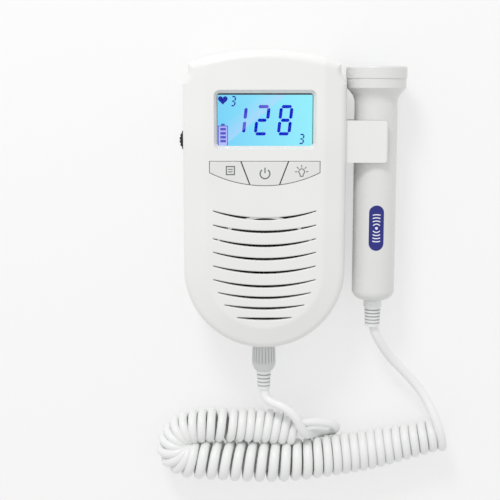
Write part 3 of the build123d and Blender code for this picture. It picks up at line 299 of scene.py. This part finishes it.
def stroke(points, width, closed=False):
    """Quads along a broken line, mitred at its corners."""
    places = [Vector(p) for p in points]
    count = len(places)
    left, right = [], []
    for i, place in enumerate(places):
        runs = []
        if i or closed:
            runs.append((place - places[i - 1]).normalized())
        if i < count - 1 or closed:
            runs.append((places[(i + 1) % count] - place).normalized())
        along = sum(runs, Vector((0, 0))).normalized()
        across = Vector((-along.y, along.x))
        reach = across * width / 2 / max(along.dot(runs[0]), MITRE)
        left.append(tuple(place + reach))
        right.append(tuple(place - reach))
    starts = range(count if closed else count - 1)
    return [[left[i], right[i], right[(i + 1) % count], left[(i + 1) % count]] for i in starts]


def arc(centre, radius, first, last, count):
    """Points of an arc between two angles in degrees."""
    angles = [radians(first + (last - first) * k / count) for k in range(count + 1)]
    return [(centre[0] + radius * cos(a), centre[1] + radius * sin(a)) for a in angles]


def box(x0, y0, x1, y1):
    """Corners of an upright rectangle."""
    return [(x0, y0), (x1, y0), (x1, y1), (x0, y1)]


def lozenge(x0, y0, x1, y1):
    """Bar with blunt points at the two ends of its longer side."""
    if x1 - x0 > y1 - y0:
        tip = BLUNT * (y1 - y0)
        mid = (y0 + y1) / 2
        return [(x0, mid), (x0 + tip, y0), (x1 - tip, y0), (x1, mid), (x1 - tip, y1), (x0 + tip, y1)]
    return [(x, y) for y, x in lozenge(y0, x0, y1, x1)]


def digit(number, x0, y0, width, height, bar):
    """Seven-segment numeral whose lower left corner is at a place."""
    mid = height / 2
    end, mid_end = 0.55 * bar, 0.75 * bar  # gaps beside the flat segments
    waist, foot = 0.4 * bar, 0.85 * bar  # gaps above and below the upright ones
    shapes = {
        "a": lozenge(end, height - bar, width - end, height),
        "d": lozenge(end, 0, width - end, bar),
        "g": lozenge(mid_end, mid - bar / 2, width - mid_end, mid + bar / 2),
        "f": lozenge(0, mid + waist, bar, height - foot),
        "e": lozenge(0, foot, bar, mid - waist),
        "b": lozenge(width - bar, mid + waist, width, height - foot),
        "c": lozenge(width - bar, foot, width, mid - waist),
    }
    return [[(x0 + x + SLANT * y, y0 + y) for x, y in shapes[key]] for key in SEGMENTS[number]]


# ---------------------------------------------------------------- display
LCD_TOP = 30.2
FIGURE = 0.05  # thickness of what the display shows
# numeral, left, bottom, width, height and thickness of a segment
LARGE_NUMERALS = (
    (1, -14.8, 30.6, 6.1, 13.2, 1.4), (2, -4.9, 30.6, 6.1, 13.2, 1.4), (8, 5.2, 30.6, 6.0, 13.2, 1.4),
)
SMALL_NUMERALS = ((3, -15.0, 43.2, 2.1, 4.5, 0.6), (3, 14.8, 26.8, 2.2, 4.5, 0.6))
HEART_X, HEART_Y, HEART_SIZE, HEART_POINTS = -18.3, 46.0, 0.132, 40
CELL_LEFT, CELL_RIGHT, CELL_TOP = -20.3, -16.3, 34.7  # the battery sign
CELL_BARS = (32.75, 30.95, 29.25, 27.55)
# painted shade: dark strips inside the display's opening, widest under its top rim, where the bezel's shade
# falls
SHADE_LEFT, SHADE_RIGHT, SHADE_LOW, SHADE_HIGH = -20.95, 21.15, 26.05, 48.95  # the opening's dark rim


def shown(name, outlines, layers=1):
    """Figures on the display, one or two layers high."""
    return prism(name, outlines, LCD_TOP, layers * FIGURE, "console")


def numerals(rows):
    """Outlines of several numerals."""
    return [outline for row in rows for outline in digit(*row)]


lcd_number = shown("lcd_number", numerals(LARGE_NUMERALS))
lcd_small = shown("lcd_small_figures", numerals(SMALL_NUMERALS))
heart = []
for k in range(HEART_POINTS):
    t = tau * k / HEART_POINTS
    heart.append((HEART_X + HEART_SIZE * 16 * sin(t) ** 3,
                  HEART_Y + HEART_SIZE * (13 * cos(t) - 5 * cos(2 * t) - 2 * cos(3 * t) - cos(4 * t))))
lcd_heart = shown("lcd_heart", [heart])
lcd_cell_tint = shown("lcd_cell_tint", [box(CELL_LEFT, 26.3, CELL_RIGHT, CELL_TOP)])
cell_line = [(CELL_LEFT, 26.2), (CELL_LEFT, CELL_TOP), (CELL_RIGHT, CELL_TOP), (CELL_RIGHT, 26.2)]
lcd_cell_edge = shown("lcd_cell_edge", stroke(cell_line, 0.35), 2)
cell_bars = [box(-19.45, y, -17.0, y + 1.15) for y in CELL_BARS]
cell_tip = box(-19.1, 34.9, -17.5, 35.7)
lcd_cell_bars = shown("lcd_cell_bars", cell_bars + [cell_tip], 2)
shade_under = SHADE_HIGH - 0.75
# painted shade of the bezel: a dark sheet under the top rim and thin ones along the sides, none at the bottom
lcd_bezel_shade = prism("lcd_bezel_shade", [
    box(SHADE_LEFT, shade_under, SHADE_RIGHT, SHADE_HIGH),
    box(SHADE_LEFT, SHADE_LOW, SHADE_LEFT + 0.25, shade_under),
    box(SHADE_RIGHT - 0.3, SHADE_LOW, SHADE_RIGHT, shade_under),
], LCD_TOP + 0.02, 0.3, "console")

# ---------------------------------------------------------------- signs on the keys, mark on the label
KEY_TOP = 34.1
INK = 0.03  # thickness of what is printed
PAGE = (-16.75, 13.75, -13.25, 17.25)
POWER = (0.1, 14.1)
BULB = (16.1, 15.0)
PROBE_X, PROBE_Z = 50.2, 16.2  # the probe's axis
LABEL_RADIUS = 9.73
MARK = (PROBE_X, -11.0)
WAVE_HALF = 1.75  # half of a wave's length
SHORT_WAVE = 52  # degrees, half of the smallest one
DEGREES = 57.3  # in a radian

page = stroke(box(*PAGE), 0.5, closed=True)
for y in (16.05, 14.95):
    page += stroke([(-16.1, y), (-14.0, y)], 0.42)
menu_sign = prism("menu_sign", page, KEY_TOP, INK, "menu_key")
ring = stroke(arc(POWER, 2.12, 128, 412, 30), 0.58) + stroke([(0.1, 14.4), (0.1, 16.75)], 0.55)
power_sign = prism("power_sign", ring, KEY_TOP, INK, "power_key")
bulb = stroke(arc(BULB, 1.25, -52, 232, 22) + [(15.55, 13.0), (16.65, 13.0)], 0.42, closed=True)
for angle in (0, 45, 90, 135, 180):
    tip = Vector((cos(radians(angle)), sin(radians(angle))))
    bulb += stroke([Vector(BULB) + tip * r for r in (1.85, 2.95)], 0.38)
light_sign = prism("light_sign", bulb, KEY_TOP, INK, "light_key")


def label_surface(x, y):
    """Height of the probe label's face, which is round about the probe's axis."""
    return PROBE_Z + sqrt(LABEL_RADIUS ** 2 - (x - PROBE_X) ** 2)


waves = [arc(MARK, 0.62, 0, 360, 20)[:-1]]
for radius in (1.9, 3.3, 4.7, 6.1):
    spread = WAVE_HALF / radius * DEGREES if radius > 2 else SHORT_WAVE
    for middle in (90, 270):
        waves += stroke(arc(MARK, radius, middle - spread, middle + spread, 12), 0.45)
label_mark = prism("label_mark", waves, label_surface, INK, "probe")


# ---------------------------------------------------------------- materials
def srgb(red, green, blue):
    """Linear colour of an 8-bit screen colour."""
    def one(level):
        level /= 255
        return level / 12.92 if level <= 0.04045 else ((level + 0.055) / 1.055) ** 2.4
    return (one(red), one(green), one(blue), 1)


def shade(colour, factor):
    """A colour made lighter or darker."""
    return tuple(min(1.0, c * factor) for c in colour[:3]) + (1,)


class Surface:
    """A material that is being put together around one Principled shader."""

    def __init__(self, name):
        self.material = bpy.data.materials.new(name)
        self.material.use_nodes = True
        self.tree = self.material.node_tree
        self.shader = self.tree.nodes["Principled BSDF"]
        self.place = self.tree.nodes.new("ShaderNodeTexCoord").outputs["Object"]

    def feed(self, socket, value):
        """Links another socket to this one, or sets it to a constant."""
        if isinstance(value, bpy.types.NodeSocket):
            self.tree.links.new(value, socket)
        else:
            socket.default_value = value

    def node(self, kind, **inputs):
        """New node with these inputs."""
        made = self.tree.nodes.new(kind)
        for key, value in inputs.items():
            self.feed(made.inputs[key.replace("_", " ")], value)
        return made

    def set(self, **inputs):
        """Inputs of the shader."""
        for key, value in inputs.items():
            self.feed(self.shader.inputs[key.replace("_", " ")], value)

    def math(self, operation, *values, kind="ShaderNodeMath"):
        """Result of one operation on links and constants."""
        made = self.tree.nodes.new(kind)
        made.operation = operation
        for socket, value in zip(made.inputs, values):
            self.feed(socket, value)
        return made.outputs["Value"]

    def span(self, value, low, high, **inputs):
        """How far a value lies from low to high, from 0 to 1 unless the inputs say otherwise."""
        made = self.node("ShaderNodeMapRange", Value=value, From_Min=low, From_Max=high, **inputs)
        return made.outputs["Result"]

    def reach(self, x, y, low, high):
        """How far a place lies from low to high metres along a direction in the front plane."""
        dot = self.math("DOT_PRODUCT", self.place, (x, y, 0), kind="ShaderNodeVectorMath")
        return self.span(dot, low, high)

    def noise(self, size, detail):
        """Noise whose grains are about size metres across."""
        made = self.node("ShaderNodeTexNoise", Vector=self.place, Scale=1 / size, Detail=detail)
        return made.outputs["Fac"]

    def stops(self, value, *levels):
        """Blend through several colours or levels, each with its place from 0 to 1."""
        made = self.tree.nodes.new("ShaderNodeValToRGB")
        stops = made.color_ramp.elements
        while len(stops) < len(levels):
            stops.new(0.5)
        for stop, (place, colour) in zip(stops, levels):
            stop.position = place
            stop.color = colour if isinstance(colour, tuple) else (colour, colour, colour, 1)
        self.tree.links.new(value, made.inputs["Fac"])
        return made.outputs["Color"]

    def ramp(self, value, low, high, ends=(0.35, 0.65)):
        """Blend between two colours or levels as a value passes between two ends."""
        return self.stops(value, (ends[0], low), (ends[1], high))

    def mix(self, share, first, second, blend_type="MIX"):
        """Two colours put together."""
        made = self.node("ShaderNodeMixRGB", Fac=share, Color1=first, Color2=second)
        made.blend_type = blend_type
        return made.outputs["Color"]

    def bump(self, height, depth):
        """Relief of a depth in metres."""
        made = self.node("ShaderNodeBump", Height=height, Strength=1.0, Distance=depth)
        self.tree.links.new(made.outputs["Normal"], self.shader.inputs["Normal"])


# all in metres, apart from directions
DRIFT_SIZE = 0.03  # over which a moulding's colour drifts
TOOL_MARK, TOOL_DEPTH = 0.0002, 0.000006
SLEEVE_GRAIN, SLEEVE_DEPTH = 0.0004, 0.000012
# painted shade: the sleeves' colour is darkened in their grooves, where shade falls
GROOVE_SHADE = 0.52  # share of its colour that a groove keeps
GROOVE_NEAR, GROOVE_FAR = 0.0002, 0.00045  # half-width of a groove's bottom and of its top
LCD_GRAIN = 0.0004
# the display's pale band is a painted reflection: glare on the window, put into the display's glow
GLARE_ACROSS = (-0.63, 0.777)  # direction across the display's pale band
GLARE_SPAN = (0.0315, 0.0395)  # from its sharp edge to its soft one
FADE_ALONG = (1, 0.2)  # direction from the display's left colour to its right one
FADE_SPAN = (-0.014, 0.026)


def moulded(name, colour, roughness, grain=0.00035, depth=0.000012, drift=0.03):
    """Moulded plastic: fine spark-eroded grain, with a slow drift of colour."""
    surface = Surface(name)
    slow = surface.noise(DRIFT_SIZE, 1.0)
    fine = surface.noise(grain, 3.0)
    surface.set(Base_Color=surface.ramp(slow, shade(colour, 1 - drift), shade(colour, 1 + drift)),
                Roughness=surface.ramp(fine, roughness - 0.05, roughness + 0.05))
    surface.bump(fine, depth)
    return surface.material


def metal(name, colour, roughness):
    """Metal with fine tool marks."""
    surface = Surface(name)
    fine = surface.noise(TOOL_MARK, 2.0)
    surface.set(Base_Color=surface.ramp(fine, shade(colour, 0.9), shade(colour, 1.06)),
                Roughness=surface.ramp(fine, roughness - 0.08, roughness + 0.08), Metallic=1.0)
    surface.bump(fine, TOOL_DEPTH)
    return surface.material


def lit(name, left, glare_colour, right, glare_strength):
    """Lit part of the display, with a painted reflection of glare as the pale band that crosses it, and a
    fine liquid crystal grain.
    """
    surface = Surface(name)
    # painted reflection: a pale band of glare, lighter across the glow of the glass and the figures
    glare = surface.stops(surface.reach(*GLARE_ACROSS, *GLARE_SPAN), (0, 0.0), (0.004, glare_strength), (1, 0.0))
    base = surface.ramp(surface.reach(*FADE_ALONG, *FADE_SPAN), left, right, ends=(0, 1))
    grain = surface.ramp(surface.noise(LCD_GRAIN, 2.0), 0.97, 1.0)
    glow = surface.mix(1.0, surface.mix(glare, base, glare_colour), grain, "MULTIPLY")
    surface.set(Base_Color=(0.0, 0.005, 0.01, 1), Roughness=0.3, Specular_IOR_Level=0.0,
                Emission_Color=glow, Emission_Strength=1.0)
    return surface.material


def groove_shaded(name, colour, first, pitch, low, high):
    """Moulded sleeve with painted shade in the grooves across it, from low to high metres along it."""
    surface = Surface(name)
    along = surface.node("ShaderNodeSeparateXYZ", Vector=surface.place).outputs["Y"]
    held = surface.span(along, low, high, To_Min=low, To_Max=high)
    near = surface.math("PINGPONG", surface.math("SUBTRACT", held, first), pitch / 2)
    away = surface.span(near, GROOVE_NEAR, GROOVE_FAR)
    fine = surface.noise(SLEEVE_GRAIN, 3.0)
    # painted shade: darker in each groove
    surface.set(Base_Color=surface.ramp(away, shade(colour, GROOVE_SHADE), colour, ends=(0, 1)),
                Roughness=surface.ramp(fine, 0.36, 0.46))
    surface.bump(fine, SLEEVE_DEPTH)
    return surface.material


SOFT_GRAIN = {"grain": 0.0006, "depth": 0.00006}
# screen colour, roughness, and what differs from the usual grain and drift
PLASTICS = {
    "case_white": ((231, 231, 229), 0.34, {"drift": 0.012}),
    "probe_white": ((221, 222, 220), 0.26, {"depth": 0.000005, "drift": 0.012}),
    "key_white": ((223, 224, 221), 0.4, {"drift": 0.012}),
    "frame_black": ((30, 31, 34), 0.5, {}),
    "wheel_black": ((24, 24, 26), 0.45, {}),
    "board_green": ((24, 92, 52), 0.35, {}),
    "chip_black": ((38, 38, 40), 0.5, {}),
    "cell_wrap": ((70, 118, 92), 0.3, {}),
    "cone_dark": ((44, 44, 46), 0.8, SOFT_GRAIN),
    "gasket_black": ((34, 34, 34), 0.9, SOFT_GRAIN),
    "magnet_grey": ((92, 92, 96), 0.6, {}),
    "face_grey": ((198, 202, 206), 0.3, {}),
    "label_blue": ((28, 32, 124), 0.35, {"drift": 0.05}),
    "crystal_ceramic": ((206, 196, 170), 0.5, {}),
    "plug_white": ((212, 214, 214), 0.4, {"drift": 0.015}),
    "cord_white": ((236, 237, 236), 0.38, {"grain": 0.0005, "drift": 0.01}),
    "backlight_white": ((235, 240, 245), 0.5, {}),
    # colour of the painted bezel shade inside the display's opening
    "bezel_shade_dark": ((34, 50, 66), 0.5, {}),
    "print_grey": ((112, 114, 114), 0.6, {}),
    "print_white": ((236, 238, 246), 0.5, {}),
}
METALS = {
    "screw_steel": ((178, 180, 184), 0.3),
    "spring_steel": ((196, 198, 202), 0.25),
    "speaker_metal": ((150, 152, 156), 0.4),
}
# colour at the left, in the painted glare band and at the right, and how strong the painted glare is
LIT = {
    "lcd_glass": ((122, 212, 250), (186, 214, 255), (150, 240, 255), 0.6),
    "ink_blue": ((4, 26, 200), (112, 108, 220), (4, 26, 200), 0.9),
    "ink_dark": ((24, 36, 160), (40, 60, 180), (24, 36, 160), 0.75),
    "ink_violet": ((84, 84, 200), (96, 96, 205), (70, 70, 190), 0.75),
    "ink_tint": ((180, 186, 250), (188, 196, 252), (180, 186, 250), 0.75),
}
SLEEVE_WHITE = srgb(232, 234, 234)

finishes = {}
for name, (colour, roughness, changes) in PLASTICS.items():
    finishes[name] = moulded(name, srgb(*colour), roughness, **changes)
for name, (colour, roughness) in METALS.items():
    finishes[name] = metal(name, srgb(*colour), roughness)
for name, (left, glare_colour, right, glare_strength) in LIT.items():
    finishes[name] = lit(name, srgb(*left), srgb(*glare_colour), srgb(*right), glare_strength)
window = Surface("window_clear")
window.set(Base_Color=(1, 1, 1, 1), Roughness=0.02, IOR=1.2, Transmission_Weight=1.0)
finishes["window_clear"] = window.material

# sleeves whose grooves get painted shade: first groove, pitch, and where the grooves start and end
sleeves = {
    "plug_boot": groove_shaded("boot_white", SLEEVE_WHITE, -0.0811, 0.001767, -0.0872, -0.0803),
    "probe_strain_relief": groove_shaded("relief_white", SLEEVE_WHITE, -0.0499, 0.00155, -0.0568, -0.0492),
}
for name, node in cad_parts.items():
    for slot in node.material_slots:
        kind = slot.material.name.split(".")[0]
        slot.material = sleeves.get(name, finishes[kind])

dressed = {
    "cord_white": (coil, plug_lead, probe_lead),
    "ink_blue": (lcd_number,),
    "ink_dark": (lcd_small, lcd_heart),
    "ink_violet": (lcd_cell_edge, lcd_cell_bars),
    "ink_tint": (lcd_cell_tint,),
    "bezel_shade_dark": (lcd_bezel_shade,),
    "print_grey": (menu_sign, power_sign, light_sign),
    "print_white": (label_mark,),
}
for finish, pieces in dressed.items():
    for piece in pieces:
        piece.data.materials.append(finishes[finish])

# ---------------------------------------------------------------- floor and light, in metres
FLOOR_HALF = 3
FLOOR_TOP = -0.0002  # just clear of the console's flat back
PAPER = srgb(247, 247, 247)
PAPER_SHARE = 0.6  # share of the floor's seen colour that the light doesn't change
LAMP_PLACE = Vector((-0.20, 0.60, 0.50))
SKY = 0.8  # strength of the light from all round

corners = [(x * FLOOR_HALF, y * FLOOR_HALF, FLOOR_TOP) for x, y in box(-1, -1, 1, 1)]
floor = mesh_piece("floor", corners, [(0, 1, 2, 3)])
look = Surface("floor")
look.set(Base_Color=PAPER, Roughness=0.9, Specular_IOR_Level=0.0)
rays = look.node("ShaderNodeLightPath").outputs
seen = look.math("MAXIMUM", rays["Is Camera Ray"], rays["Is Glossy Ray"])
seen = look.math("MAXIMUM", seen, rays["Is Transmission Ray"])
paper = look.node("ShaderNodeEmission", Color=PAPER, Strength=1.0)
blend = look.node("ShaderNodeMixShader", Fac=look.math("MULTIPLY", seen, PAPER_SHARE))
look.feed(blend.inputs[1], look.shader.outputs["BSDF"])
look.feed(blend.inputs[2], paper.outputs["Emission"])
look.feed(look.tree.nodes["Material Output"].inputs["Surface"], blend.outputs["Shader"])
floor.data.materials.append(look.material)

lamp_data = bpy.data.lights.new("key_light", "AREA")
lamp_data.shape = "DISK"
lamp_data.size = 0.22
lamp_data.energy = 2.5
lamp = link(bpy.data.objects.new("key_light", lamp_data))
lamp.location = LAMP_PLACE
lamp.rotation_euler = LAMP_PLACE.to_track_quat("Z", "Y").to_euler()
lamp.visible_camera = False

world = bpy.data.worlds.new("world")
world.use_nodes = True
sky = world.node_tree.nodes["Background"]
sky.inputs["Color"].default_value = (1, 1, 1, 1)
sky.inputs["Strength"].default_value = SKY
bpy.context.scene.world = world
bpy.context.scene.view_settings.view_transform = "Standard"

bpy.context.view_layer.update()
